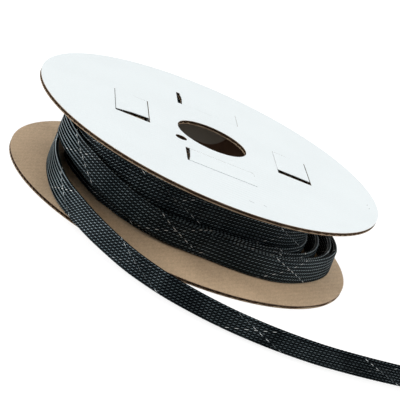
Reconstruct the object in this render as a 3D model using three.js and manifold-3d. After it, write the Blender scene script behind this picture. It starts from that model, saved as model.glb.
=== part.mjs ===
// A cardboard reel that holds flat braided cable sleeve, lying on its lower flange with the
// free end of the sleeve running off to the front. Sizes are in millimetres and Z points up.
// The origin is on the surface that the reel lies on, under the middle of its spindle hole.
import * as THREE from 'three';
import * as BufferGeometryUtils from 'three/addons/utils/BufferGeometryUtils.js';
import Module from 'manifold-3d';

const wasm = await Module();
wasm.setup();
const { Manifold, Mesh: SolidMesh } = wasm;

// Driving dimensions of the reel
const FLANGE_RADIUS = 90;
const BOARD = 1.8; // thickness of the corrugated board
const SPINDLE_RADIUS = 18.4; // hole in the middle of each flange
const REEL_GAP = 38; // clear height between the flanges
const CORE_APOTHEM = 36.3; // middle of the core to the outside of each of its eight walls
const CORE_SHIFT = new THREE.Vector2(-0.4, 4.2); // the core stands this far off the hole's middle
const TAB_REACH = 15.4; // how far a core tab lies out over its flange
const TAB_TURN = 12; // degrees from X to the first tab at the top
// Ends of the four tabs of a flange along their walls, counted from the middle of the wall. Each
// window fits its tab closely at one end and leaves a gap at the other.
const TABS = [
  { from: -12.1, to: 14.3, gapFrom: 4.5, gapTo: 0 },
  { from: -16.5, to: 14.4, gapFrom: 0, gapTo: 2.4 },
  { from: -14.3, to: 14.8, gapFrom: 0, gapTo: 4 },
  { from: -14.8, to: 18.6, gapFrom: 1.7, gapTo: 0 },
];
const PIN_HOLE = { x: -13.4, y: -21.1, radius: 3 }; // small round hole for a drive pin

// Driving dimensions of the sleeve
const SLEEVE_WIDTH = 12.4; // lying flat
const SLEEVE_THICKNESS = 2.2;
const ROWS = 3;
const LAYERS = 9; // layers wound tight on the core before the loose turns
const LOOSE_GAP = { width: 2.2, depth: 6 }; // between two loose turns of the lowest row

// Clearances
const CLEAR = 0.3; // between pieces that touch
const WINDOW_PLAY = 0.4; // round a tab in its window

// Worked out from the sizes above
const TOP_FACE = 2 * BOARD + REEL_GAP;
const ROW_PITCH = (REEL_GAP - 2 * CLEAR) / ROWS;
const WOUND_RADIUS = CORE_APOTHEM + LAYERS * SLEEVE_THICKNESS;
const SIDES = 8;

const MATERIALS = {
  white: { color: 0xf1f4f4, roughness: 0.75, metalness: 0 },
  kraft: { color: 0xb29c84, roughness: 0.9, metalness: 0 },
  core: { color: 0x9c8a74, roughness: 0.9, metalness: 0 },
  sleeve: { color: 0x15181a, roughness: 0.55, metalness: 0 },
};

const root = new THREE.Group();

function add(name, geometry, finish) {
  const mesh = new THREE.Mesh(geometry, new THREE.MeshStandardMaterial(MATERIALS[finish]));
  mesh.name = name;
  root.add(mesh);
  return mesh;
}

// Booleans: a three.js geometry goes in and out of the solid library
function solid(geometry) {
  const bare = geometry.index ? geometry.toNonIndexed() : geometry.clone();
  bare.deleteAttribute('normal');
  bare.deleteAttribute('uv');
  const merged = BufferGeometryUtils.mergeVertices(bare, 1e-4);
  const points = new Float32Array(merged.attributes.position.array);
  const triangles = new Uint32Array(merged.index.array);
  return new Manifold(new SolidMesh({ numProp: 3, vertProperties: points, triVerts: triangles }));
}

function geometryOf(body) {
  const mesh = body.getMesh();
  const geometry = new THREE.BufferGeometry();
  geometry.setAttribute('position', new THREE.BufferAttribute(new Float32Array(mesh.vertProperties), 3));
  geometry.setIndex(new THREE.BufferAttribute(new Uint32Array(mesh.triVerts), 1));
  geometry.computeVertexNormals();
  return geometry;
}

// A flat shape given by its outline and holes, raised from one height to another
function plate(outline, holes, low, high) {
  const shape = new THREE.Shape(outline);
  for (const hole of holes) shape.holes.push(new THREE.Path(hole));
  const geometry = new THREE.ExtrudeGeometry(shape, { depth: high - low, bevelEnabled: false });
  geometry.translate(0, 0, low);
  return geometry;
}

function polar(radius, degrees) {
  const a = THREE.MathUtils.degToRad(degrees);
  return new THREE.Vector2(radius * Math.cos(a), radius * Math.sin(a));
}

function circle(radius, count) {
  return Array.from({ length: count }, (_, i) => polar(radius, (360 * i) / count));
}

function octagon(apothem) {
  const corner = apothem / Math.cos(Math.PI / SIDES);
  const points = Array.from({ length: SIDES }, (_, i) => polar(corner, TAB_TURN + (360 * (i + 0.5)) / SIDES));
  return points.map((p) => p.add(CORE_SHIFT));
}

// A rectangle seen from above, in the frame of one core wall: out from the core, then along the wall
function onWall(turn, near, far, from, to) {
  const middle = new THREE.Vector2(0, 0);
  const corners = [[near, from], [far, from], [far, to], [near, to]];
  return corners.map(([out, along]) => new THREE.Vector2(out, along)
    .rotateAround(middle, THREE.MathUtils.degToRad(turn)).add(CORE_SHIFT));
}

// Both flanges are the same die-cut disc: a spindle hole, four windows and a pin hole. The lower
// one is turned by one wall of the core, because the core's tabs alternate between top and bottom.
const WALL_STEP = 360 / SIDES;
const tabTurns = (first) => [0, 1, 2, 3].map((k) => first + 2 * k * WALL_STEP);

function flange(low, firstTurn) {
  const windowNear = CORE_APOTHEM - BOARD - WINDOW_PLAY;
  const windowFar = CORE_APOTHEM + TAB_REACH + WINDOW_PLAY;
  const holes = tabTurns(firstTurn).map((turn, n) => {
    const { from, to, gapFrom, gapTo } = TABS[n];
    return onWall(turn, windowNear, windowFar, from - (gapFrom || WINDOW_PLAY), to + (gapTo || WINDOW_PLAY));
  });
  holes.push(circle(SPINDLE_RADIUS, 48));
  const pinMiddle = new THREE.Vector2(PIN_HOLE.x, PIN_HOLE.y)
    .rotateAround(new THREE.Vector2(0, 0), THREE.MathUtils.degToRad(firstTurn - TAB_TURN));
  holes.push(circle(PIN_HOLE.radius, 20).map((p) => p.add(pinMiddle)));
  return plate(circle(FLANGE_RADIUS, 120), holes, low, low + BOARD);
}

// The core is a strip folded into eight walls, four with a tab at the top and four with one at
// the bottom. Each tab goes through a window of its flange and lies out flush with the outside.
function core() {
  const low = BOARD + CLEAR;
  const high = TOP_FACE - BOARD - CLEAR;
  let body = solid(plate(octagon(CORE_APOTHEM), [octagon(CORE_APOTHEM - BOARD)], low, high));
  const inner = CORE_APOTHEM - BOARD;
  const wallEnd = inner * Math.tan(Math.PI / SIDES);
  const addTab = (turn, { from, to }, neckLow, neckHigh, plateLow) => {
    const [neckFrom, neckTo] = [Math.max(from, -wallEnd), Math.min(to, wallEnd)];
    const neck = onWall(turn, inner, CORE_APOTHEM, neckFrom, neckTo);
    const lie = onWall(turn, inner, CORE_APOTHEM + TAB_REACH, from, to);
    body = body.add(solid(plate(neck, [], neckLow, neckHigh)));
    body = body.add(solid(plate(lie, [], plateLow, plateLow + BOARD)));
  };
  tabTurns(TAB_TURN).forEach((turn, n) => addTab(turn, TABS[n], high - 1, TOP_FACE, TOP_FACE - BOARD));
  tabTurns(TAB_TURN + WALL_STEP).forEach((turn, n) => addTab(turn, TABS[n], 0, low + 1, 0));
  return geometryOf(body);
}

// Outlines of the rows of the winding: azimuth in degrees, then how far that side stands out
// past the tight winding. The last turns are loose, and the lowest row sags out to the right.
const LOW_ROW = [[-166, 0.5], [-148, 0.5], [-124, 0], [-101, 3], [-88, 0.5], [-70, -1], [-58, 4],
  [-47, 9.2], [-35, 14], [-23, 17], [-10, 20.6], [5, 25], [20, 25.8], [40, 25.4], [62, 24], [90, 22],
  [118, 21], [140, 20.5], [153, 20.3], [157, 5], [172, 1.5]];
const MIDDLE_ROW = [[-165, 13.5], [-150, 11], [-135, 7.5], [-120, 4], [-103, 2], [-88, -0.5], [-70, -2],
  [-50, 0], [-30, 4], [-10, 7], [15, 7], [45, 6], [75, 6], [100, 9], [130, 13], [155, 15.5], [176, 15.5]];
const HIGH_ROW = [[-165, 12], [-150, 9.5], [-135, 6], [-120, 3.5], [-103, 1.5], [-88, -1], [-70, -2],
  [-50, -2], [-20, 0], [10, 2], [60, 4], [100, 6], [140, 10.5], [175, 13]];
// The last wound turn crosses from the middle row to the lowest: azimuth, radius past the tight
// winding and height of its middle over the lower flange
const CROSSING = [[-172, 14, 19.2], [-160, 12.6, 18.9], [-148, 10.6, 17.6], [-136, 8.6, 15.6],
  [-124, 6.4, 13.2], [-111, 4.6, 10.6], [-99, 3.4, 8.6], [-88, 1, 7.2], [-76, -2, 6.6]];

function rowOutline(row, count) {
  const points = row.map(([degrees, past]) => polar(WOUND_RADIUS + past, degrees));
  const curve = new THREE.CatmullRomCurve3(points.map((p) => new THREE.Vector3(p.x, p.y, 0)), true);
  return curve.getPoints(count).slice(0, count).map((p) => new THREE.Vector2(p.x, p.y));
}

// Where the core's wall, with the winding's clearance, lies in the direction of a point
function boreToward(point) {
  const direction = point.clone().sub(CORE_SHIFT);
  const turn = THREE.MathUtils.radToDeg(direction.angle()) - TAB_TURN;
  const fromWall = THREE.MathUtils.degToRad(turn - WALL_STEP * Math.round(turn / WALL_STEP));
  return direction.setLength((CORE_APOTHEM + CLEAR) / Math.cos(fromWall)).add(CORE_SHIFT);
}

// A shallow ring cut that follows the turns, at a share of the way from the core to the outside
function turnGroove(outline, share, width, low, high) {
  const at = (s) => outline.map((p) => boreToward(p).lerp(p, s));
  const middle = outline.map((p) => p.distanceTo(boreToward(p)));
  const half = width / 2 / (middle.reduce((a, b) => a + b) / middle.length);
  return solid(plate(at(share + half), [at(share - half)], low, high));
}

// The gap between two loose turns of the lowest row, where that row sags out past the others
function looseGap(share, { width, depth }, top) {
  const [from, to, step] = [-45, 115, 8]; // degrees
  const range = Array.from({ length: 1 + (to - from) / step }, (_, i) => from + i * step);
  const lerp = (row, degrees) => {
    const k = row.findIndex(([a]) => a > degrees);
    const [[a0, r0], [a1, r1]] = [row[k - 1], row[k]];
    return THREE.MathUtils.lerp(r0, r1, (degrees - a0) / (a1 - a0));
  };
  const radius = (degrees) => {
    const inside = WOUND_RADIUS + lerp(MIDDLE_ROW, degrees);
    return THREE.MathUtils.lerp(inside, WOUND_RADIUS + lerp(LOW_ROW, degrees), share);
  };
  const outer = range.map((degrees) => polar(radius(degrees) + width / 2, degrees));
  const inner = range.map((degrees) => polar(radius(degrees) - width / 2, degrees)).reverse();
  return solid(plate([...outer, ...inner], [], top - depth, top + 0.5));
}

// Flat tube section standing on its edge along a curve: the curve's first normal is vertical
function sleeveSection() {
  const [w, t] = [SLEEVE_WIDTH / 2, SLEEVE_THICKNESS / 2];
  const points = [];
  for (const side of [1, -1]) {
    for (const degrees of [-90, -54, -18, 18, 54, 90]) {
      const p = polar(t, degrees);
      points.push(new THREE.Vector2(side * (w - t + p.x), side * p.y));
    }
  }
  return new THREE.Shape(points);
}

function sleeveAlong(points, steps) {
  const path = new THREE.CatmullRomCurve3(points, false, 'centripetal');
  return new THREE.ExtrudeGeometry(sleeveSection(), { steps, extrudePath: path, bevelEnabled: false });
}

// The wound sleeve as one body: three rows, the crossing turn, the turns on both ends and the
// gaps of the loose turns
function winding() {
  const base = BOARD + CLEAR;
  const rows = [LOW_ROW, MIDDLE_ROW, HIGH_ROW].map((row) => rowOutline(row, 64));
  const bore = octagon(CORE_APOTHEM + CLEAR);
  const overlap = 0.01;
  let body = solid(plate(rows[0], [bore], base, base + ROW_PITCH));
  body = body.add(solid(plate(rows[1], [bore], base + ROW_PITCH - overlap, base + 2 * ROW_PITCH)));
  body = body.add(solid(plate(rows[2], [bore], base + 2 * ROW_PITCH - overlap, base + 3 * ROW_PITCH)));
  const crossing = CROSSING.map(([degrees, past, height]) => {
    const p = polar(WOUND_RADIUS + past, degrees);
    return new THREE.Vector3(p.x, p.y, BOARD + height);
  });
  body = body.add(solid(sleeveAlong(crossing, 16)));
  const top = base + ROWS * ROW_PITCH;
  for (const share of [0.2, 0.4, 0.6, 0.8]) {
    body = body.subtract(turnGroove(rows[2], share, 0.6, top - 0.8, top + 0.5));
    body = body.subtract(turnGroove(rows[0], share, 0.6, base - 0.5, base + 0.8));
  }
  for (const share of [0.32, 0.66]) body = body.subtract(looseGap(share, LOOSE_GAP, base + ROW_PITCH));
  return geometryOf(body);
}

// The free end of the sleeve: on edge on the lower flange, over its rim, then along the surface
// that the reel lies on. Points are the middle of the flat sleeve, height is over what it lies on.
const HALF = SLEEVE_WIDTH / 2;
const ON_FLANGE = BOARD + CLEAR + HALF;
const ON_FLOOR = HALF + 0.05;
const TAIL = [[-69.2, 33], [-70.8, 20], [-70.4, 6], [-68.9, -9.5], [-66.7, -25], [-62.9, -40.5],
  [-57.7, -55.3], [-51, -69], [-43.2, -79.5], [-33.5, -89.8], [-21.5, -99], [-5.5, -109.1],
  [10.4, -116], [25.9, -119.4], [41.1, -120.5], [55.6, -119.4], [70.1, -116.6], [84.4, -112.2],
  [98.7, -105.9], [113.1, -98.5], [127, -90.6], [140.5, -82.5], [153, -74.6]];
const TAIL_ON_FLANGE = 9; // so many of the points lie over the flange

function tail() {
  const height = (i) => (i < TAIL_ON_FLANGE ? ON_FLANGE : ON_FLOOR);
  const points = TAIL.map(([x, y], i) => new THREE.Vector3(x, y, height(i)));
  return sleeveAlong(points, 44);
}

add('bottom_flange', flange(0, TAB_TURN + WALL_STEP), 'kraft');
add('top_flange', flange(TOP_FACE - BOARD, TAB_TURN), 'white');
add('core', core(), 'core');
add('sleeve_winding', winding(), 'sleeve');
add('sleeve_tail', tail(), 'sleeve');

export default root;
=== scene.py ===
import math
import bmesh
import bpy
import numpy as np
from mathutils import Matrix, Vector


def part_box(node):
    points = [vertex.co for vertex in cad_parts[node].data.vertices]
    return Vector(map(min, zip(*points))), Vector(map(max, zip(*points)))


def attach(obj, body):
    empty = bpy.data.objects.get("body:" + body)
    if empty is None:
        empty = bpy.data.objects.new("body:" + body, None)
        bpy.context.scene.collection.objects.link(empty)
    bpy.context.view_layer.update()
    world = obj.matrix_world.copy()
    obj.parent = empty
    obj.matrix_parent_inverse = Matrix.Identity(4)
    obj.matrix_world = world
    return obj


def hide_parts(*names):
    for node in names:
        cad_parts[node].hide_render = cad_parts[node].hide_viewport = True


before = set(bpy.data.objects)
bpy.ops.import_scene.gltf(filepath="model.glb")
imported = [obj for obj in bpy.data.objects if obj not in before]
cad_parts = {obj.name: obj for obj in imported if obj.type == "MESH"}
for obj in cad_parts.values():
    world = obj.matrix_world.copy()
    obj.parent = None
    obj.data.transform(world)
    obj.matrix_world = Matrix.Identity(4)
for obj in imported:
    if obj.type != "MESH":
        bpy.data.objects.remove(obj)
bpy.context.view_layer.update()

scene = bpy.context.scene

# ---- Camera
# A long lens in front of the reel, a little above it and rolled to the side. Its place was found
# from the two flanges and the spindle hole, in millimetres from the middle of the upper face.
MM = 0.001
TOP_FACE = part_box("top_flange")[1][2] / MM
LENS_ELEVATION = 0.3089  # radians above the table
LENS_ROLL = 0.4382  # radians
LENS_DISTANCE = 842.1
LENS_SHIFT = (-5.93, -30.17)  # to the lens's own right and up
FOCAL_IN_FRAMES = 1716.5 / 400  # focal length over the picture's width

cos_e, sin_e = math.cos(LENS_ELEVATION), math.sin(LENS_ELEVATION)
cos_r, sin_r = math.cos(LENS_ROLL), math.sin(LENS_ROLL)
back = Vector((0, -cos_e, sin_e))
level_right, level_up = Vector((1, 0, 0)), Vector((0, sin_e, cos_e))
right = cos_r * level_right + sin_r * level_up
up = -sin_r * level_right + cos_r * level_up
eye = back * LENS_DISTANCE + right * LENS_SHIFT[0] + up * LENS_SHIFT[1] + Vector((0, 0, TOP_FACE))
lens = bpy.data.cameras.new("camera")
lens.sensor_width = 36
lens.lens = FOCAL_IN_FRAMES * lens.sensor_width
lens.clip_start, lens.clip_end = 0.05, 20
camera = bpy.data.objects.new("camera", lens)
camera.matrix_world = Matrix.Translation(eye * MM) @ Matrix((right, up, back)).transposed().to_4x4()
scene.collection.objects.link(camera)
scene.camera = camera
scene.view_settings.view_transform = "Standard"

# ---- Free end of the sleeve
# Flat braided polyester sleeve, 12.4 mm wide, that stands on its edge. It comes off the outermost
# turn, crosses the lower flange and its rim and runs along the surface that the reel lies on.
SLEEVE_WIDTH = 12.4
SLEEVE_THICKNESS = 2.1
YARNS = 32  # each way round the sleeve, one of them white
YARN_PITCH = 1.9  # along the sleeve, from one yarn to the next
FINE_RELIEF = 0.24  # how far the yarns stand out where the sleeve is seen closest
STRAY_ROUND, STRAY_ALONG = 0.0009, 0.0016  # metres in all that the braid strays from even
PERIMETER = 2 * (SLEEVE_WIDTH - SLEEVE_THICKNESS) + math.pi * SLEEVE_THICKNESS


class Field:
    """A value in a node tree. Arithmetic on it adds Math nodes, and node() adds any other."""

    def __init__(self, tree, socket=None):
        self.tree, self.socket = tree, socket

    def node(self, kind, settings=None, inputs=None, out=0):
        made = self.tree.nodes.new(kind)
        for name, value in (settings or {}).items():
            setattr(made, name, value)
        for key, value in (inputs or {}).items():
            for one in value if isinstance(value, list) else [value]:
                if isinstance(one, Field):
                    self.tree.links.new(one.socket, made.inputs[key])
                else:
                    made.inputs[key].default_value = one
        return Field(self.tree, made.outputs[out])

    def out(self, name):
        return Field(self.tree, self.socket.node.outputs[name])

    def math(self, operation, a, b=0.0, c=0.0):
        return self.node("ShaderNodeMath", {"operation": operation}, {0: a, 1: b, 2: c})

    def __add__(self, other):
        return self.math("ADD", self, other)

    def __sub__(self, other):
        return self.math("SUBTRACT", self, other)

    def __rsub__(self, other):
        return self.math("SUBTRACT", other, self)

    def __mul__(self, other):
        return self.math("MULTIPLY", self, other)

    def __truediv__(self, other):
        return self.math("DIVIDE", self, other)

    def __mod__(self, other):
        return self.math("FLOORED_MODULO", self, other)

    def __lt__(self, other):
        return self.math("LESS_THAN", self, other)

    def __gt__(self, other):
        return self.math("GREATER_THAN", self, other)

    __radd__ = __add__
    __rmul__ = __mul__

    def rise(self, low, high):
        """0 below low, 1 above high and a smooth step between them."""
        return self.node("ShaderNodeMapRange", {"interpolation_type": "SMOOTHSTEP"},
                         {"Value": self, "From Min": low, "From Max": high})

    def mix(self, low, high):
        """The colour low where this is 0 and high where it is 1."""
        low, high = (c if isinstance(c, Field) else (*c, 1) for c in (low, high))
        return self.node("ShaderNodeMix", {"data_type": "RGBA"}, {0: self, 6: low, 7: high}, 2)

    def noise(self, at, scale, detail=2.0):
        return self.node("ShaderNodeTexNoise", None,
                         {"Vector": at, "Scale": scale, "Detail": detail})

    def parts(self, of):
        split = self.node("ShaderNodeSeparateXYZ", None, {0: of})
        return split, split.out(1), split.out(2)


def new_material(name, roughness, colour=None, **fixed):
    """A material, a Field to start its nodes from, and a function that feeds its shader."""
    material = bpy.data.materials.new(name)
    material.use_nodes = True
    tree = material.node_tree
    shader = tree.nodes["Principled BSDF"]
    shader.inputs["Roughness"].default_value = roughness
    if colour:
        shader.inputs["Base Color"].default_value = (*colour, 1)
    for key, value in fixed.items():
        shader.inputs[key.replace("_", " ")].default_value = value

    def feed(socket, value):
        tree.links.new(value.socket, shader.inputs[socket])

    return material, Field(tree), feed


def braid_pattern(u, v):
    """Two sets of yarns that cross at an angle, each over two of the other set and under two,
    from the distances round and along the sleeve. Gives the height of the yarn on top, the place
    across it, 1 on the white tracer yarns, 1 where the first set is on top, and 1 down the middle
    of the columns that the first set makes along the sleeve."""
    round_sleeve, along_sleeve = u / (PERIMETER * MM / YARNS) + YARNS / 4, v / (YARN_PITCH * MM)
    p, q = round_sleeve + along_sleeve, round_sleeve - along_sleeve
    i, j = p.math("FLOOR", p), p.math("FLOOR", q)
    k = (i + j) % 4.0
    over = k < 2.0
    across = over * (p - i) + (1.0 - over) * (q - j)
    along = (over * (k + q - j) + (1.0 - over) * (k - 2.0 + p - i)) * 0.5
    off_middle = across * 2.0 - 1.0
    round_top = p.math("SQRT", p.math("MAXIMUM", 1.0 - off_middle * off_middle, 0.0))
    height = round_top * (p.math("SINE", along * math.pi) * 0.55 + 0.45)
    tracer = over * ((i % float(YARNS)) < 0.5) + (1.0 - over) * ((j % float(YARNS)) < 0.5)
    column = p.math("COSINE", (round_sleeve - 0.75) * math.pi)
    return height, across, tracer, over, column


# Yarn colours lighter than black polyester: part of their brightness is painted sheen
YARN_DARK, YARN_LIGHT = (0.055, 0.088, 0.102), (0.175, 0.235, 0.26)
TRACER_WHITE = (0.55, 0.58, 0.58)
# Painted shade: the gaps between the yarns are drawn black, without gloss
GAP_PAINTED_SHADE = (0.0006, 0.0009, 0.0012, 1)
# Painted highlight: lengthwise lines drawn on the sleeve at the left bends, placed by x
PAINTED_LINES_AT = (-0.04, -0.062)  # x in metres, between which the lengthwise lines come up
PAINTED_SHADE_AT = (0.095, 0.125)  # metres from the spindle, between which painted shade darkens the sleeve


def braid_material(name, relief):
    """Black polyester braid with a thin white tracer yarn each way that comes and goes, from the
    sleeve's own UV map in metres. Its yarn colours hold painted sheen. The yarns that run one way
    get a painted highlight that the others lack, and the gaps between them are painted black as
    shade. Painted highlights make lengthwise lines in the bends at the left, and painted shade
    darkens the free end beyond the reel. relief is the depth of its bump, in millimetres."""
    material, s, feed = new_material(name, roughness=0.4, Specular_IOR_Level=0.5)
    u, v, _ = s.parts(s.node("ShaderNodeUVMap", {"uv_map": "sleeve"}))
    height, across, tracer, over, column = braid_pattern(u, v)
    here = s.node("ShaderNodeTexCoord").out("Object")
    tone = s.noise(here, 90.0).rise(0.35, 0.7)
    fibre = s.math("COSINE", across * (10 * math.pi)) * 0.5 + 0.5
    yarn = (tone * 0.6 + fibre * 0.4).mix(YARN_DARK, YARN_LIGHT)
    seen = s.noise(here, 110.0, 0.0).rise(0.36, 0.52) * 0.65 + 0.35
    ridge = s.math("ABSOLUTE", across - 0.5).rise(0.26, 0.12)
    thread = tracer * ridge * height.rise(0.5, 0.7) * seen
    feed("Base Color", thread.mix(yarn, TRACER_WHITE))
    bump = s.node("ShaderNodeBump", None, {"Strength": 1.0, "Distance": relief * MM,
                                           "Height": height + fibre * 0.1})
    feed("Normal", bump)
    # Painted shade in the gaps between yarns
    gap = s.node("ShaderNodeBsdfPrincipled", None, {
        "Base Color": GAP_PAINTED_SHADE, "Roughness": 0.9, "Specular IOR Level": 0.0})
    x, y, _ = s.parts(here)
    # Where the painted highlight lines come up
    painted_lines_zone = (x + (s.noise(here, 30.0, 0.0) - 0.5) * 0.03).rise(*PAINTED_LINES_AT)
    # Painted shade: fewer yarns are shown on the free end beyond the reel
    far_out = s.math("SQRT", x * x + y * y).rise(*PAINTED_SHADE_AT)
    painted_shade = far_out * (s.noise(here, 60.0).rise(0.35, 0.6) * 0.35 + 0.35)
    # Painted highlight: the first yarn set shows more than the other, and more so on the bends
    crown_with_painted_highlight = height.rise(0.6, 0.94) * (over * (0.8 + painted_lines_zone * 0.18) + 0.2 - painted_lines_zone * 0.18)
    # Painted highlight lines down the middle of the first set's columns
    line = column.rise(0.5, 0.95) * painted_lines_zone
    shown = s.math("MAXIMUM", s.math("MAXIMUM", crown_with_painted_highlight, line) * (1.0 - painted_shade), thread)
    whole = s.node("ShaderNodeMixShader", None, {
        0: shown, 1: gap, 2: Field(s.tree, s.tree.nodes["Principled BSDF"].outputs[0])})
    s.tree.links.new(whole.socket, s.tree.nodes["Material Output"].inputs[0])
    return material


def sleeve_tree():
    """Lays flat sleeve along a curve: the braid's UV map in metres, a little uneven, and on
    fine sleeve the yarns themselves stand out of the surface."""
    tree = bpy.data.node_groups.new("flat_sleeve", "GeometryNodeTree")
    face = tree.interface
    face.new_socket("Path", in_out="INPUT", socket_type="NodeSocketGeometry")
    for name, kind in (("Width", "Float"), ("Thickness", "Float"), ("Relief", "Float"),
                       ("Points round", "Int"), ("Start", "Float"), ("Material", "Material")):
        face.new_socket(name, in_out="INPUT", socket_type="NodeSocket" + kind)
    face.new_socket("Sleeve", in_out="OUTPUT", socket_type="NodeSocketGeometry")
    given = Field(tree, tree.nodes.new("NodeGroupInput").outputs[0])
    asked = given.out

    def capture(geometry, value):
        node = tree.nodes.new("GeometryNodeCaptureAttribute")
        node.capture_items.new("FLOAT", "value")
        tree.links.new(geometry.socket, node.inputs[0])
        tree.links.new(value.socket, node.inputs[1])
        return Field(tree, node.outputs[0]), Field(tree, node.outputs[1])

    section = given.node("GeometryNodeCurvePrimitiveQuadrilateral", None,
                         {"Width": asked("Thickness"), "Height": asked("Width")})
    section = given.node("GeometryNodeFilletCurve", {"mode": "POLY"},
                         {"Curve": section, "Count": 3, "Radius": asked("Thickness") * 0.49})
    even = given.node("GeometryNodeResampleCurve", {"mode": "COUNT"},
                      {"Curve": section, "Count": asked("Points round")})
    section = given.node("GeometryNodeSwitch", {"input_type": "GEOMETRY"},
                         {"Switch": asked("Points round") > 3.0, "False": section, "True": even})
    perimeter = given.node("GeometryNodeCurveLength", None, {"Curve": section})
    section, round_it = capture(section, given.node("GeometryNodeSplineParameter").out("Length"))
    path, along_it = capture(given, given.node("GeometryNodeSplineParameter").out("Length"))
    mesh = given.node("GeometryNodeCurveToMesh", None,
                      {"Curve": path, "Profile Curve": section, "Fill Caps": True,
                       "Scale": given.node("GeometryNodeInputRadius")})
    here = given.node("GeometryNodeInputPosition")
    drift = given.node("ShaderNodeTexNoise", None, {"Vector": here, "Scale": 45.0, "Detail": 1.0})
    drift_one, drift_two, _ = given.parts(drift.out("Color"))
    u_point = round_it / perimeter * (PERIMETER * MM)
    mean = given.node("GeometryNodeFieldOnDomain", {"data_type": "FLOAT", "domain": "FACE"},
                      {0: u_point})
    past_seam = (mean - u_point) > (PERIMETER * MM / 4)
    u_drift, v_drift = (drift_one - 0.5) * STRAY_ROUND, (drift_two - 0.5) * STRAY_ALONG
    v = along_it + asked("Start") + v_drift
    u_corner = u_point + past_seam * (PERIMETER * MM) + u_drift
    uv = given.node("ShaderNodeCombineXYZ", None, {0: u_corner, 1: v})
    mesh = given.node("GeometryNodeStoreNamedAttribute",
                      {"data_type": "FLOAT2", "domain": "CORNER"},
                      {"Geometry": mesh, "Name": "sleeve", "Value": uv})
    height, *_ = braid_pattern(u_point + u_drift, v)
    lift = given.node("ShaderNodeVectorMath", {"operation": "SCALE"},
                      {0: given.node("GeometryNodeInputNormal"),
                       "Scale": (height - 0.55) * asked("Relief")})
    mesh = given.node("GeometryNodeSetPosition", None, {"Geometry": mesh, "Offset": lift})
    mesh = given.node("GeometryNodeSetShadeSmooth", None, {"Geometry": mesh})
    mesh = given.node("GeometryNodeRealizeInstances", None, {"Geometry": mesh})
    mesh = given.node("GeometryNodeSetMaterial", None,
                      {"Geometry": mesh, "Material": asked("Material")})
    result = tree.nodes.new("NodeGroupOutput")
    tree.links.new(mesh.socket, result.inputs[0])
    return tree


def made_by(tree, name, data, inputs, body="root"):
    """Runs a geometry tree on data and returns the result as a plain mesh object."""
    source = bpy.data.objects.new(name + "_source", data)
    scene.collection.objects.link(source)
    modifier = source.modifiers.new("nodes", "NODES")
    modifier.node_group = tree
    for item in tree.interface.items_tree:
        if item.in_out == "INPUT" and item.name in inputs:
            modifier[item.identifier] = inputs[item.name]
    ready = source.evaluated_get(bpy.context.evaluated_depsgraph_get())
    mesh = bpy.data.meshes.new_from_object(ready)
    mesh.name = name
    bpy.data.objects.remove(source)
    piece = bpy.data.objects.new(name, mesh)
    scene.collection.objects.link(piece)
    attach(piece, body)
    return piece


def line_length(line):
    return np.concatenate([[0], np.cumsum(np.linalg.norm(np.diff(line[:, :3], axis=0), axis=1))])


def evenly(line, step):
    """The same line with its points an equal length apart, of about step millimetres."""
    at = line_length(line)
    new = np.linspace(0, at[-1], max(2, round(at[-1] / step) + 1))
    return np.stack([np.interp(new, at, line[:, a]) for a in range(line.shape[1])], axis=1)


flat_sleeve = sleeve_tree()
fine_braid = braid_material("braid", relief=0.1)
wound_braid = braid_material("wound_braid", relief=0.34)


def lay_sleeve(name, line, start, fine=0):
    """Sleeve on its edge along line, whose columns are x, y, z in millimetres, lean in radians
    and the share of the full width. start is where on the whole sleeve it begins, and fine is
    the number of points round it, or 0 for plain sleeve without raised yarns."""
    curve = bpy.data.curves.new(name, "CURVE")
    curve.dimensions, curve.twist_mode = "3D", "Z_UP"
    spline = curve.splines.new("POLY")
    spline.points.add(len(line) - 1)
    spline.points.foreach_set("co", np.column_stack([line[:, :3] * MM, np.ones(len(line))]).ravel())
    spline.points.foreach_set("tilt", line[:, 3])
    spline.points.foreach_set("radius", line[:, 4])
    piece = made_by(flat_sleeve, name, curve, {
        "Width": SLEEVE_WIDTH * MM, "Thickness": SLEEVE_THICKNESS * MM, "Points round": fine,
        "Relief": (FINE_RELIEF if fine else 0.0) * MM, "Start": start * MM,
        "Material": fine_braid if fine else wound_braid})
    return piece


def through(points, step):
    """A smooth line through points, by centripetal Catmull-Rom pieces as in the CAD."""
    points = np.asarray(points, float)
    ends = np.vstack([2 * points[0] - points[1], points, 2 * points[-1] - points[-2]])
    knots = np.concatenate([[0], np.cumsum(np.linalg.norm(np.diff(ends, axis=0), axis=1) ** 0.5)])
    pieces = []
    for n in range(1, len(ends) - 2):
        t = np.linspace(knots[n], knots[n + 1], 24, endpoint=False)[:, None]
        k, e = knots[n - 1:n + 3], ends[n - 1:n + 3]
        a = [((k[m + 1] - t) * e[m] + (t - k[m]) * e[m + 1]) / (k[m + 1] - k[m]) for m in range(3)]
        b = [((k[m + 2] - t) * a[m] + (t - k[m]) * a[m + 1]) / (k[m + 2] - k[m]) for m in range(2)]
        pieces.append(((k[2] - t) * b[0] + (t - k[1]) * b[1]) / (k[2] - k[1]))
    return evenly(np.vstack(pieces + [points[-1:]]), step)


def smooth_step(x, low, high):
    t = np.clip((np.asarray(x, float) - low) / (high - low), 0, 1)
    return t * t * (3 - 2 * t)


BOARD = 1.8
GAP = 0.3  # left free between the sleeve, the core and the flanges
FLANGE_RADIUS = 90
HALF = SLEEVE_WIDTH / 2
ON_FLANGE = BOARD + GAP + HALF  # height of its middle on the lower flange
ON_FLOOR = HALF + 0.05  # and on the table, just clear of it
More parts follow.
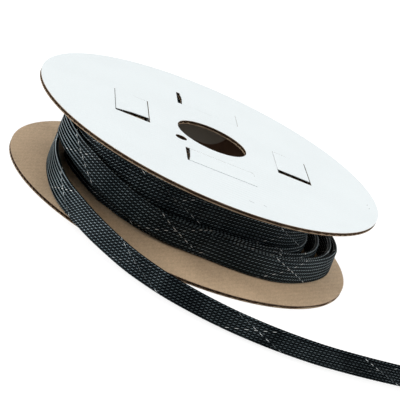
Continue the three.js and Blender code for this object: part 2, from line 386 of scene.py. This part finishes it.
# The free end in plan, from where the outermost turn leaves the winding
TAIL = [(-69.2, 33), (-70.8, 20), (-70.4, 6), (-68.9, -9.5), (-66.7, -25), (-62.9, -40.5),
        (-57.7, -55.3), (-51, -69), (-43.2, -79.5), (-33.5, -89.8), (-21.5, -99), (-5.5, -109.1),
        (10.4, -116), (25.9, -119.4), (41.1, -120.5), (55.6, -119.4), (70.1, -116.6),
        (84.4, -112.2), (98.7, -105.9), (113.1, -98.5), (127, -90.6), (140.5, -82.5),
        (153, -74.6)]
TAIL_ON_FLANGE = 9  # points of it that are above the flange
TAIL_START = 2995.2  # of the sleeve's length, where the free end begins
DESCENT = 50  # of its length, from the rim down to the table
NARROWED = (0.08, 80, 190)  # share of its width lost, and the lengths between which it goes
LEANED = (15, 110, 230)  # degrees that it leans over, and the lengths between which it does
FINE_STEP = 0.5  # between points along sleeve with raised yarns

tail = through([(x, y, ON_FLANGE if n < TAIL_ON_FLANGE else ON_FLOOR)
                for n, (x, y) in enumerate(TAIL)], FINE_STEP)
tail_at = line_length(tail)
past_rim = tail_at[np.argmax(np.hypot(tail[:, 0], tail[:, 1]) > FLANGE_RADIUS)]
fallen = smooth_step(tail_at, past_rim, past_rim + DESCENT)
tail[:, 2] = ON_FLANGE + (ON_FLOOR - ON_FLANGE) * fallen
narrowing = 1 - NARROWED[0] * smooth_step(tail_at, *NARROWED[1:])
lean = math.radians(LEANED[0]) * smooth_step(tail_at, *LEANED[1:])
tail[:, 2] -= HALF - HALF * narrowing * np.cos(lean)
tail = np.column_stack([tail, lean, narrowing])
free_end = lay_sleeve("sleeve_free_end", tail, TAIL_START, fine=80)
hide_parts("sleeve_tail")
tuple(tail[0, :3] * MM)
(tail[::8, :3] * MM).tolist()

# ---- Wound sleeve
# The same sleeve wound on the core in three rows, one above the other. The last turns are loose:
# the outermost one drops from the top row to the middle one at the back and on to the lowest one
# at the front left, and the loose turns of the lowest row sag out to the right.
CORE_APOTHEM = 36.3  # from its middle to its walls' outer faces
CORE_SHIFT = (-0.4, 4.2)  # of its middle from the spindle
CORE_TURN = 12  # azimuth that its first wall faces
CORE_CLEAR = 0.2  # more room between its walls and the first turn
REEL_GAP = 38  # from board to board
ROW_PITCH = (REEL_GAP - 2 * GAP) / 3
ROW_MIDDLE = [BOARD + GAP + ROW_PITCH * (n + 0.5) for n in range(3)]
WOUND_RADIUS = 56.1  # of the tight winding's outer face
TURN = 360
WINDOW = (130, 230)  # azimuths between which a turn moves out to the next one
WAVER = 0.25  # how far the turns of a row wander up and down
LOOSE_LEAN = -0.08  # radians that the loose turns lean
INNER_TURNS = [8, 9, 10]  # of each row, between the core and its first table
TOP_TURN_ARC = 290  # degrees of the top row's outermost turn
WOUND_STEP = 2.4  # between points along the plain wound sleeve
ROW_START = [0.0, 700.0, 1300.0]  # of the sleeve's length, where the rows begin
TRACER_SHIFT = 6.6  # of the braid along the outermost turn, to where its tracers cross

# Outer face of each row, as azimuth and millimetres past the tight winding
LOOSE_LOW = [(-166, 4.2), (-157, 1.6), (-148, 0.5), (-124, 0), (-101, 0.5), (-88, 0.5),
             (-76, 0.3), (-58, 2.5), (-47, 6.6), (-35, 11.6), (-23, 15.2), (-10, 18.8), (5, 22),
             (20, 23.1), (40, 22.9), (62, 21.6), (90, 19.6), (118, 16.5), (140, 15),
             (160, 12.5), (180, 9)]
SECOND_LOW = [(-166, 2.2), (-157, -0.3), (-148, -1.7), (-124, -2.2), (-88, -1.8), (-76, -1.9),
              (-58, -0.2), (-47, 3.4), (-35, 7.6), (-23, 10.6), (-10, 13.6), (5, 15.2),
              (20, 16), (40, 16.6), (62, 16.5), (90, 15.5), (118, 11.5), (140, 9.5),
              (160, 8.5), (180, 6)]
THIRD_LOW = [(-166, -3.9), (-124, -4.4), (-88, -4), (-76, -4.2), (-58, -2.6), (-47, -0.4),
             (-35, 2.2), (-23, 4.8), (-10, 7.2), (5, 8.4), (20, 9), (40, 9.6), (62, 9.4),
             (90, 9), (118, 6.5), (140, 1.5), (160, -2.4), (180, -3.9)]
MIDDLE = [(-165, 11), (-150, 8.6), (-135, 5.1), (-120, 1.2), (-103, -1.8), (-88, -4.5),
          (-70, -6), (-50, -3.5), (-30, 3), (-10, 6.6), (15, 7), (45, 6), (75, 6), (100, 8),
          (130, 10.8), (155, 13), (176, 13)]
TOP = [(-165, 12), (-150, 9.5), (-135, 6), (-120, 3.5), (-103, 1.5), (-88, -1), (-70, -2),
       (-50, -2), (-20, 0), (10, 2), (60, 4), (100, 6), (140, 11.5), (175, 14.4)]
# The crossing turn and the turn that ends in the free end: azimuth, millimetres of its middle past
# the tight winding, and height of its middle
LAST = [(60, 2.9, 33.3), (85, 4, 32.6), (105, 6.6, 29.8), (125, 10.4, 25.4), (145, 13.7, 21.8),
        (165, 14.4, 21.1), (188, 13.9, 20.9), (200, 12.6, 20.6), (212, 10.6, 19.4),
        (224, 8.6, 17.6), (236, 6.4, 15), (249, 4.6, 12.4), (261, 3.2, 10.4), (272, 1.2, 9),
        (284, -0.6, 8.4), (302, 3.2, 8.3), (313, 7.9, 8.3), (325, 12.7, 8.3), (337, 15.9, 8.3),
        (350, 19.6, 8.3), (360, 22.6, 8.3), (368, 24.3, 8.3), (380, 24.7, 8.3), (400, 24.3, 8.3),
        (422, 22.9, 8.3), (450, 20.9, 8.3), (478, 19.9, 8.3), (500, 20.2, 8.3),
        (514.5, 20.56, 8.3)]


def row_radius(table, azimuth):
    """Radius of the middle of a turn whose outer face the table gives, smoothed over 12 degrees
    either way."""
    table = np.array(sorted(table), float)
    fine = np.arange(-540, 541, 2.0)
    at = np.concatenate([table[:, 0] - TURN, table[:, 0], table[:, 0] + TURN])
    out = np.interp(fine, at, np.tile(table[:, 1], 3))
    bell = np.exp(-np.linspace(-2, 2, 13) ** 2)
    out = np.convolve(np.pad(out, 6, mode="edge"), bell / bell.sum(), mode="valid")
    return np.interp((azimuth + 180) % TURN - 180, fine, out) + WOUND_RADIUS - SLEEVE_THICKNESS / 2


def core_radius(azimuth):
    """Radius of the middle of the first turn, which lies on the eight walls of the core."""
    walls = np.radians(CORE_TURN + np.arange(8) * 45)
    off = CORE_SHIFT[0] * np.cos(walls) + CORE_SHIFT[1] * np.sin(walls)
    facing = np.cos(np.radians(azimuth)[:, None] - walls[None, :])
    reach = np.where(facing > 0.2,
                     (CORE_APOTHEM + GAP + off[None, :]) / np.maximum(facing, 0.2), 1e3)
    return reach.min(axis=1) + SLEEVE_THICKNESS / 2 + CORE_CLEAR


def row_turns(tables, inner, first, last, height):
    """Turns of one row from azimuth first to last, counted on over the turns. The first inner
    turns fill the room from the core to the first table, and each later one has its own."""
    azimuth = np.arange(first, last + 1, 2.0)
    count = np.floor((azimuth - WINDOW[0]) / TURN)
    count = count + smooth_step(azimuth - TURN * count, *WINDOW)
    share = np.clip(count / inner, 0, 1)
    radius = core_radius(azimuth) * (1 - share) + row_radius(tables[0], azimuth) * share
    for n, table in enumerate(tables[1:]):
        past = np.clip(count - inner - n, 0, 1)
        radius = radius * (1 - past) + row_radius(table, azimuth) * past
    wave = WAVER * np.sin(np.radians(azimuth * 3.3)) * np.sin(np.radians(azimuth * 0.71))
    return azimuth, radius, np.full(len(azimuth), height) + wave


def in_plan(azimuth, radius, height, lean=0.0):
    a = np.radians(azimuth)
    return np.column_stack([radius * np.cos(a), radius * np.sin(a), height,
                            np.broadcast_to(lean, a.shape), np.ones(len(a))])


start = WINDOW[0]
# Lowest row, whose loose turns lean
low = row_turns([THIRD_LOW, SECOND_LOW, LOOSE_LOW], INNER_TURNS[0], start, start + 10 * TURN,
                ROW_MIDDLE[0])
leaning = LOOSE_LEAN * smooth_step(low[0], start + 7.9 * TURN, start + 9 * TURN)
low_line = in_plan(*low, leaning)
# Middle row
middle_end = start + 9 * TURN
middle_line = in_plan(*row_turns([MIDDLE], INNER_TURNS[1], start, middle_end, ROW_MIDDLE[1]))
# Top row, and the part of its outermost turn that leads to the crossing turn
top_end = start + 9 * TURN
top_line = in_plan(*row_turns([TOP], INNER_TURNS[2], start, top_end, ROW_MIDDLE[2]))
top_turn = row_turns([TOP], INNER_TURNS[2], top_end, top_end + TOP_TURN_ARC, ROW_MIDDLE[2])
top_turn_line = evenly(in_plan(*top_turn), FINE_STEP)
# The crossing turn, which leans only where it lies in the lowest row
last_points = [(math.cos(math.radians(a)) * (WOUND_RADIUS + r),
                math.sin(math.radians(a)) * (WOUND_RADIUS + r), z) for a, r, z in LAST]
last_points[-1] = (TAIL[0][0], TAIL[0][1], ON_FLANGE)
last_line = through(last_points, FINE_STEP)
last_at = line_length(last_line)
leaning = LOOSE_LEAN * smooth_step(last_at, 190, 260) * (1 - smooth_step(last_at, 420, 500))
last_line = np.column_stack([last_line, leaning, np.ones(len(last_line))])

last_start = TAIL_START - last_at[-1] - TRACER_SHIFT
top_turn_start = last_start - line_length(top_turn_line)[-1]
rows = [lay_sleeve("low_row", evenly(low_line, WOUND_STEP), ROW_START[0]),
        lay_sleeve("middle_row", evenly(middle_line, WOUND_STEP), ROW_START[1]),
        lay_sleeve("top_row", evenly(top_line, WOUND_STEP), ROW_START[2]),
        lay_sleeve("top_turn", top_turn_line, top_turn_start, fine=64),
        lay_sleeve("last_turn", last_line, last_start, fine=64)]
for piece in rows:
    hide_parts("sleeve_winding")

# ---- Flanges
# Two die-cut discs of corrugated board, white paper outside and brown inside, with a wavy sheet
# between the papers that shows at every cut edge. Each has four windows for the core's tabs.
PAPER = 0.26
FLUTE_PITCH = 3.2
FLUTE_SHEET = 0.2
FLUTE_POINTS = 8.0  # across one flute
FLUTES = 60  # enough to cross the reel
FLUTE_TURN = {"top_flange": 12, "bottom_flange": 57}  # direction that the flutes run in
WHITE = (0.722, 0.768, 0.778)
KRAFT = (0.53, 0.395, 0.26)
CUT_EDGE = (0.27, 0.19, 0.125)
# Small grey scuffs on the upper face: x, y, direction in degrees, length
SCUFFS = [(83.6, 10, 80, 1.6), (84.9, 5.7, 80, 1.4), (29, -67.8, -5, 3.2), (35.5, -65, -20, 2.2)]
SCUFF_HALF_WIDTH = 0.3
SCUFF_GREY = (0.12, 0.13, 0.14)
# Darker than the paper itself: painted shade in the flute hollows
FLUTE_DARK, FLUTE_LIGHT = (0.035, 0.02, 0.011), (0.085, 0.05, 0.028)


def paper(name, colour, turn, contrast, scuffs=()):
    """Board liner: a little cloudy, with fibres, and the flutes faintly showing through. turn is
    the direction of the flutes in degrees, and contrast the share by which its tone strays."""
    material, s, feed = new_material(name, roughness=0.75, Specular_IOR_Level=0.2)
    here = s.node("ShaderNodeTexCoord").out("Object")
    x, y, _ = s.parts(here)
    c, w = math.cos(math.radians(turn)), math.sin(math.radians(turn))
    wave = s.math("SINE", (y * c - x * w) * (2 * math.pi / (FLUTE_PITCH * MM)))
    cloud = s.noise(here, 28.0).rise(0.3, 0.7)
    stretched = s.node("ShaderNodeMapping", None, {
        "Vector": here, "Rotation": (0, 0, -math.radians(turn)), "Scale": (1.0, 0.16, 1.0)})
    fibre = s.noise(stretched, 1900.0, 3.0).rise(0.35, 0.75)
    speck = s.noise(here, 1300.0, 1.0).rise(0.3, 0.7)
    share = cloud * 0.4 + fibre * 0.25 + speck * 0.3 + wave * 0.05
    dark, light = (tuple(ch * f for ch in colour) for f in (1 - contrast, 1 + contrast * 0.8))
    tint = share.mix(dark, light)
    for cx, cy, angle, length in scuffs:
        ca, sa = math.cos(math.radians(angle)), math.sin(math.radians(angle))
        dx, dy = x - cx * MM, y - cy * MM
        lengthways = s.math("ABSOLUTE", dx * ca + dy * sa) / (length / 2 * MM)
        crossways = s.math("ABSOLUTE", dy * ca - dx * sa) / (SCUFF_HALF_WIDTH * MM)
        mark = lengthways.rise(1.0, 0.6) * crossways.rise(1.0, 0.4) * 0.7
        tint = mark.mix(tint, SCUFF_GREY)
    feed("Base Color", tint)
    feed("Normal", s.node("ShaderNodeBump", None, {"Strength": 0.5, "Distance": 0.0001,
                                                   "Height": fibre * 0.6 + wave * 0.5}))
    return material


def fluting_material():
    """Fluting paper with a fine grain, brown and darkened further as painted shade in the flute
    hollows.
    """
    material, s, feed = new_material("fluting", roughness=0.85, Specular_IOR_Level=0.1)
    here = s.node("ShaderNodeTexCoord").out("Object")
    grain = s.noise(here, 1500.0).rise(0.3, 0.7)
    feed("Base Color", grain.mix(FLUTE_DARK, FLUTE_LIGHT))
    return material


def fluting_tree():
    """A wavy sheet the size of the reel, cut to the shape of the piece that it runs through."""
    tree = bpy.data.node_groups.new("fluting", "GeometryNodeTree")
    face = tree.interface
    face.new_socket("Piece", in_out="INPUT", socket_type="NodeSocketGeometry")
    for name, kind in (("Pitch", "Float"), ("Depth", "Float"), ("Sheet", "Float"),
                       ("Size", "Float"), ("Turn", "Float"), ("Height", "Float"),
                       ("Material", "Material")):
        face.new_socket(name, in_out="INPUT", socket_type="NodeSocket" + kind)
    face.new_socket("Fluting", in_out="OUTPUT", socket_type="NodeSocketGeometry")
    given = Field(tree, tree.nodes.new("NodeGroupInput").outputs[0])
    asked = given.out
    size = asked("Size")
    points = size / asked("Pitch") * FLUTE_POINTS + 1.0
    grid = given.node("GeometryNodeMeshGrid", None, {
        "Size X": size, "Size Y": size, "Vertices X": points, "Vertices Y": 2})
    x, _, _ = given.parts(given.node("GeometryNodeInputPosition"))
    wave = given.math("SINE", x * (2 * math.pi) / asked("Pitch")) * asked("Depth") * 0.5
    up_by = given.node("ShaderNodeCombineXYZ", None,
                       {2: wave - asked("Sheet") * 0.5 + asked("Height")})
    sheet = given.node("GeometryNodeSetPosition", None, {"Geometry": grid, "Offset": up_by})
    thick = given.node("ShaderNodeCombineXYZ", None, {2: asked("Sheet")})
    upper = given.node("GeometryNodeExtrudeMesh", None, {"Mesh": sheet, "Offset": thick,
                                                         "Individual": False})
    lower = given.node("GeometryNodeFlipFaces", None, {"Mesh": sheet})
    sheet = given.node("GeometryNodeJoinGeometry", None, {0: [upper, lower]})
    sheet = given.node("GeometryNodeMergeByDistance", None, {"Geometry": sheet, "Distance": 1e-6})
    spin = given.node("ShaderNodeCombineXYZ", None, {2: asked("Turn")})
    sheet = given.node("GeometryNodeTransform", None, {"Geometry": sheet, "Rotation": spin})
    cut = given.node("GeometryNodeMeshBoolean",
                     {"operation": "INTERSECT", "solver": "MANIFOLD"}, {1: [given, sheet]})
    cut = given.node("GeometryNodeRealizeInstances", None, {"Geometry": cut})
    cut = given.node("GeometryNodeSetMaterial", None,
                     {"Geometry": cut, "Material": asked("Material")})
    result = tree.nodes.new("NodeGroupOutput")
    tree.links.new(cut.socket, result.inputs[0])
    return tree


fluting = fluting_tree()
fluting_paper = fluting_material()
edge_paper = paper("cut_paper", CUT_EDGE, turn=0, contrast=0.3)
white_paper = {node: paper("white_paper_" + node, WHITE, turn, contrast=0.03,
                           scuffs=SCUFFS if node == "top_flange" else ())
               for node, turn in FLUTE_TURN.items()}
brown_paper = {node: paper("brown_paper_" + node, KRAFT, turn, contrast=0.28)
               for node, turn in FLUTE_TURN.items()}


def joined_copy(node):
    """The solid's mesh with its loose triangles joined."""
    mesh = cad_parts[node].data.copy()
    work = bmesh.new()
    work.from_mesh(mesh)
    bmesh.ops.remove_doubles(work, verts=work.verts, dist=1e-6)
    work.to_mesh(mesh)
    work.free()
    mesh.materials.clear()
    return mesh


def finish_piece(name, mesh, node):
    piece = bpy.data.objects.new(name, mesh)
    scene.collection.objects.link(piece)
    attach(piece, "root")
    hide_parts(node)


def by_facing(mesh, up, down, side):
    """Gives the faces that look up, down and sideways their papers."""
    for material in (up, down, side):
        mesh.materials.append(material)
    for polygon in mesh.polygons:
        facing = polygon.normal.z
        polygon.material_index = 0 if facing > 0.5 else 1 if facing < -0.5 else 2


def flat_paper(name, node, low, up, down):
    """One paper of a flange, cut as the whole board is."""
    mesh = joined_copy(node)
    middle = sum(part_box(node), Vector()).z / 2
    for vertex in mesh.vertices:
        vertex.co.z = (low + PAPER if vertex.co.z > middle else low) * MM
    by_facing(mesh, up, down, edge_paper)
    finish_piece(name, mesh, node)


def flutes_in(name, mesh, node, turn, height):
    """Fluting at a height in a piece of board. turn is the direction of its flutes."""
    piece = made_by(fluting, name, mesh, {
        "Pitch": FLUTE_PITCH * MM, "Depth": (BOARD - 2 * PAPER - FLUTE_SHEET) * MM,
        "Sheet": FLUTE_SHEET * MM, "Size": FLUTES * FLUTE_PITCH * MM,
        "Turn": math.radians(turn - 90), "Height": height * MM, "Material": fluting_paper})
    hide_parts(node)


for node, slot, low, outside_up in (("bottom_flange", "bottom_board", 0, False),
                                    ("top_flange", "top_board", TOP_FACE - BOARD, True)):
    white, brown = white_paper[node], brown_paper[node]
    flat_paper(node + "_upper_paper", node, low + BOARD - PAPER,
               white if outside_up else brown, brown)
    flat_paper(node + "_lower_paper", node, low, brown, brown if outside_up else white)
    flutes_in(node + "_fluting", joined_copy(node), node, FLUTE_TURN[node], low + BOARD / 2)

# ---- Core
# A strip of the same board, scored and folded into eight walls that stand between the flanges.
# Four tabs at the top and four at the bottom fold out through the windows, white paper outside,
# and lie flush with the flanges. The inside of the walls is dim brown darkened as painted shade,
# with a paler painted pool of light.

# Ends of the tabs along their walls: each end at the fold, half way out and at the outer edge
TABS = [((-11.3, -11.4, -12.1), (14.55, 14.55, 14.55)),
        ((-16.7, -16.7, -16.7), (14.3, 13.9, 14.9)),
        ((-14.55, -14.55, -14.55), (12.2, 13.6, 17)),
        ((-14.2, -14.6, -15.5), (18.95, 18.95, 18.95))]
TAB_REACH = [15.25, 15.65, 15.45, 15.72]  # from the wall's outer face to the outer edge
TAB_LIFT = [0.12, 0.1, 0.15, 0.2]  # how far the outer end springs up, at the top only
TAB_FOLD = [0.3, 0.1, 0.45, 0.04]  # radius of the white paper's fold
TAB_INSET = [0.24, 0.36, 0.2, 0.4]  # from the wall's inner face in to the white paper of the fold
BROWN_FOLD = 0.35  # radius of the brown paper's fold
TAB_ROOT = 2.2  # length of the tab's papers below the fold
TAB_FLUTING = 0.3  # from the wall's outer face to where the tab's fluting starts
FLUTING_SHORT = 0.05  # how far it ends short of the papers' cut


def on_wall(turn, out, along):
    t = math.radians(turn)
    return (out * math.cos(t) - along * math.sin(t) + CORE_SHIFT[0],
            out * math.sin(t) + along * math.cos(t) + CORE_SHIFT[1])


def folded_paper(work, turn, line, ends, thickness, flip):
    """A folded sheet of paper: line is its section, as distance out from the core's middle and
    height, and ends are its two cut ends along the wall, each at the fold, half way out and at
    the outer edge. flip turns it over, for the lower tabs."""
    line = np.array(line, float)
    run = np.gradient(line, axis=0)
    run /= np.linalg.norm(run, axis=1)[:, None]
    off = np.column_stack([-run[:, 1], run[:, 0]]) * thickness / 2
    ring = np.vstack([line + off, (line - off)[::-1]])
    if flip:
        ring[:, 1] = TOP_FACE - ring[:, 1]
    reach = np.linspace(CORE_APOTHEM, line[:, 0].max(), 3)
    rows = [[work.verts.new([c * MM for c in (*on_wall(turn, out, np.interp(out, reach, end)), z)])
             for out, z in ring] for end in ends]
    count = len(ring)
    for n in range(count):
        m = (n + 1) % count
        work.faces.new((rows[0][n], rows[0][m], rows[1][m], rows[1][n]))
    for row in rows:
        for n in range(len(line) - 1):
            work.faces.new((row[n], row[n + 1], row[count - 2 - n], row[count - 1 - n]))


def tab_papers(at_top):
    """The white and the brown paper of four tabs, as two meshes."""
    papers = []
    for white in (True, False):
        work = bmesh.new()
        for n, ends in enumerate(TABS):
            turn = CORE_TURN + 90 * n + (0 if at_top else 45)
            lift = TAB_LIFT[n] if at_top else 0
            if white:
                flat, radius = TOP_FACE - PAPER / 2, TAB_FOLD[n]
                wall = CORE_APOTHEM - BOARD - TAB_INSET[n] + PAPER / 2
            else:
                flat, radius = TOP_FACE - BOARD + PAPER / 2, BROWN_FOLD
                wall = CORE_APOTHEM - PAPER / 2
            arc = [(wall + radius * (1 - math.cos(a)), flat - radius * (1 - math.sin(a)))
                   for a in np.linspace(0, math.pi / 2, 6)]
            far = CORE_APOTHEM + TAB_REACH[n]
            outward = [(o, flat + lift * ((o - arc[-1][0]) / (far - arc[-1][0])) ** 2)
                       for o in np.linspace(arc[-1][0], far, 7)[1:]]
            root = [(wall, flat - radius - TAB_ROOT)]
            folded_paper(work, turn, root + arc + outward, ends, PAPER, not at_top)
        bmesh.ops.recalc_face_normals(work, faces=work.faces)
        mesh = bpy.data.meshes.new("tab_paper")
        work.to_mesh(mesh)
        work.free()
        papers.append(mesh)
    return papers


def prism(name, outline, low, high, inner=None):
    """A flat shape raised from one height to another, or a ring of it when inner is given."""
    work = bmesh.new()
    layers = [[[work.verts.new((x * MM, y * MM, z * MM)) for x, y in loop] for z in (low, high)]
              for loop in ([outline, inner] if inner else [outline])]
    count = len(outline)
    for n in range(count):
        m = (n + 1) % count
        for lower, upper in layers:
            work.faces.new((lower[n], lower[m], upper[m], upper[n]))
        if inner:
            for level in (0, 1):
                a, b = layers[0][level], layers[1][level]
                work.faces.new((a[n], a[m], b[m], b[n]))
    if not inner:
        work.faces.new(layers[0][0])
        work.faces.new(layers[0][1])
    bmesh.ops.recalc_face_normals(work, faces=work.faces)
    mesh = bpy.data.meshes.new(name)
    work.to_mesh(mesh)
    work.free()
    return mesh


def wall_corners(apothem):
    corner = apothem / math.cos(math.pi / 8)
    return [(corner * math.cos(a) + CORE_SHIFT[0], corner * math.sin(a) + CORE_SHIFT[1])
            for a in np.radians(CORE_TURN + 22.5 + 45 * np.arange(8))]


# The paler painted pool of light inside, on walls darkened as painted shade, runs under the upper
# flange and ends in a round: x and height of the round's middle, and its radius with a soft edge,
# in metres
LIT_PATCH_END, LIT_PATCH_LEVEL, LIT_PATCH_RADIUS = -0.0045, 0.0385, (0.0124, 0.0117)
INSIDE_PAINTED_SHADE, INSIDE_PAINTED_LIGHT = (0.11, 0.058, 0.03), (0.33, 0.32, 0.285)

tab_paper = paper("tab_white_paper", WHITE, turn=0, contrast=0.03)
# Inside paper with painted light and shade: dim brown painted shade and a paler painted pool of
# light
inside_painted_light_and_shade, s, feed = new_material("core_inside_painted_light_and_shade", roughness=0.8)
x, _, z = s.parts(s.node("ShaderNodeTexCoord").out("Object"))
past, below = s.math("MAXIMUM", x - LIT_PATCH_END, 0.0), LIT_PATCH_LEVEL - z
pale = s.math("SQRT", past * past + below * below).rise(*LIT_PATCH_RADIUS)
feed("Base Color", pale.mix(INSIDE_PAINTED_SHADE, INSIDE_PAINTED_LIGHT))
outside_paper = paper("core_brown_paper", KRAFT, turn=0, contrast=0.14)
for at_top in (True, False):
    level = "top" if at_top else "bottom"
    for mesh, colour in zip(tab_papers(at_top), ("white", "brown")):
        face = tab_paper if colour == "white" else outside_paper
        out_up = at_top == (colour == "white")
        by_facing(mesh, face if out_up else outside_paper, outside_paper if out_up else face, face)
        mesh.shade_smooth()
        finish_piece(f"{level}_tabs_{colour}_paper", mesh, "core")
        mesh.set_sharp_from_angle(angle=math.radians(40))
    for n, (start, end) in enumerate(TABS):
        turn = CORE_TURN + 90 * n + (0 if at_top else 45)
        near, far = CORE_APOTHEM + TAB_FLUTING, CORE_APOTHEM + TAB_REACH[n] - FLUTING_SHORT
        reach = np.linspace(near, far, 3)
        corners = [on_wall(turn, out, along + FLUTING_SHORT) for out, along in zip(reach, start)]
        corners += [on_wall(turn, out, along - FLUTING_SHORT)
                    for out, along in zip(reach[::-1], end[::-1])]
        low = TOP_FACE - BOARD if at_top else 0
        plate = prism("tab", corners, low, low + BOARD)
        flutes_in(f"{level}_tab_fluting_{n + 1}", plate, "core", turn + 90,
                  low + BOARD / 2)

wall_low, wall_high = BOARD + GAP, TOP_FACE - BOARD - GAP
rings = (("core_white_paper", CORE_APOTHEM - BOARD + PAPER, CORE_APOTHEM - BOARD, inside_painted_light_and_shade),
         ("core_fluting", CORE_APOTHEM - PAPER, CORE_APOTHEM - BOARD + PAPER, fluting_paper),
         ("core_brown_paper", CORE_APOTHEM, CORE_APOTHEM - PAPER, outside_paper))
for name, outer, inner, material in rings:
    mesh = prism(name, wall_corners(outer), wall_low, wall_high, wall_corners(inner))
    mesh.materials.append(material)
    finish_piece(name, mesh, "core")

# ---- Floor and light
# A white table that runs out of sight and glows a little. The room is pale behind it and to the
# left and dark in front, with a soft light overhead and a stronger one at each side.
TABLE_REACH = 4  # metres each way
TABLE_DROP = -0.0002  # metres, just under the reel
floor_mesh = bpy.data.meshes.new("floor")
floor_mesh.from_pydata([(x * TABLE_REACH, y * TABLE_REACH, TABLE_DROP)
                        for x, y in ((-1, -1), (1, -1), (1, 1), (-1, 1))], [], [(0, 1, 2, 3)])
floor = bpy.data.objects.new("floor", floor_mesh)
scene.collection.objects.link(floor)
table, _, _ = new_material("table", roughness=0.9, colour=(0.3, 0.3, 0.3),
                           Emission_Strength=0.78, Emission_Color=(1, 1, 1, 1))
floor_mesh.materials.append(table)

world = bpy.data.worlds.new("surroundings")
scene.world = world
world.use_nodes = True
sky = world.node_tree.nodes["Background"]
DARK_FRONT, PALE_WALL, CEILING = (0.04,) * 3, (1.8,) * 3, (0.72,) * 3  # how bright each is
w = Field(world.node_tree)
east, north, upward = w.parts(w.node("ShaderNodeTexCoord").out("Generated"))
behind = (north * 0.75 - east * 0.65).rise(-0.7, 0.8)
wall = behind.mix(DARK_FRONT, PALE_WALL)
shade = upward.rise(0.05, 0.6).mix(wall, CEILING)
world.node_tree.links.new(shade.socket, sky.inputs["Color"])


def softbox(name, place, aim, size, power):
    """A square light that faces aim. Its size is in metres and its power in watts."""
    light = bpy.data.lights.new(name, "AREA")
    light.shape, light.size, light.energy = "SQUARE", size, power
    lamp = bpy.data.objects.new(name, light)
    lamp.location = place
    lamp.rotation_euler = (Vector(aim) - Vector(place)).to_track_quat("-Z", "Y").to_euler()
    scene.collection.objects.link(lamp)


softbox("overhead", (-0.25, 0.3, 1.1), aim=(0, 0, 0), size=0.8, power=1.0)
softbox("right", (1.1, 0.1, 0.6), aim=(0.05, 0, 0.01), size=0.6, power=8)
softbox("left", (-1.15, -0.28, 0.35), aim=(0, 0, 0.02), size=0.5, power=9.5)
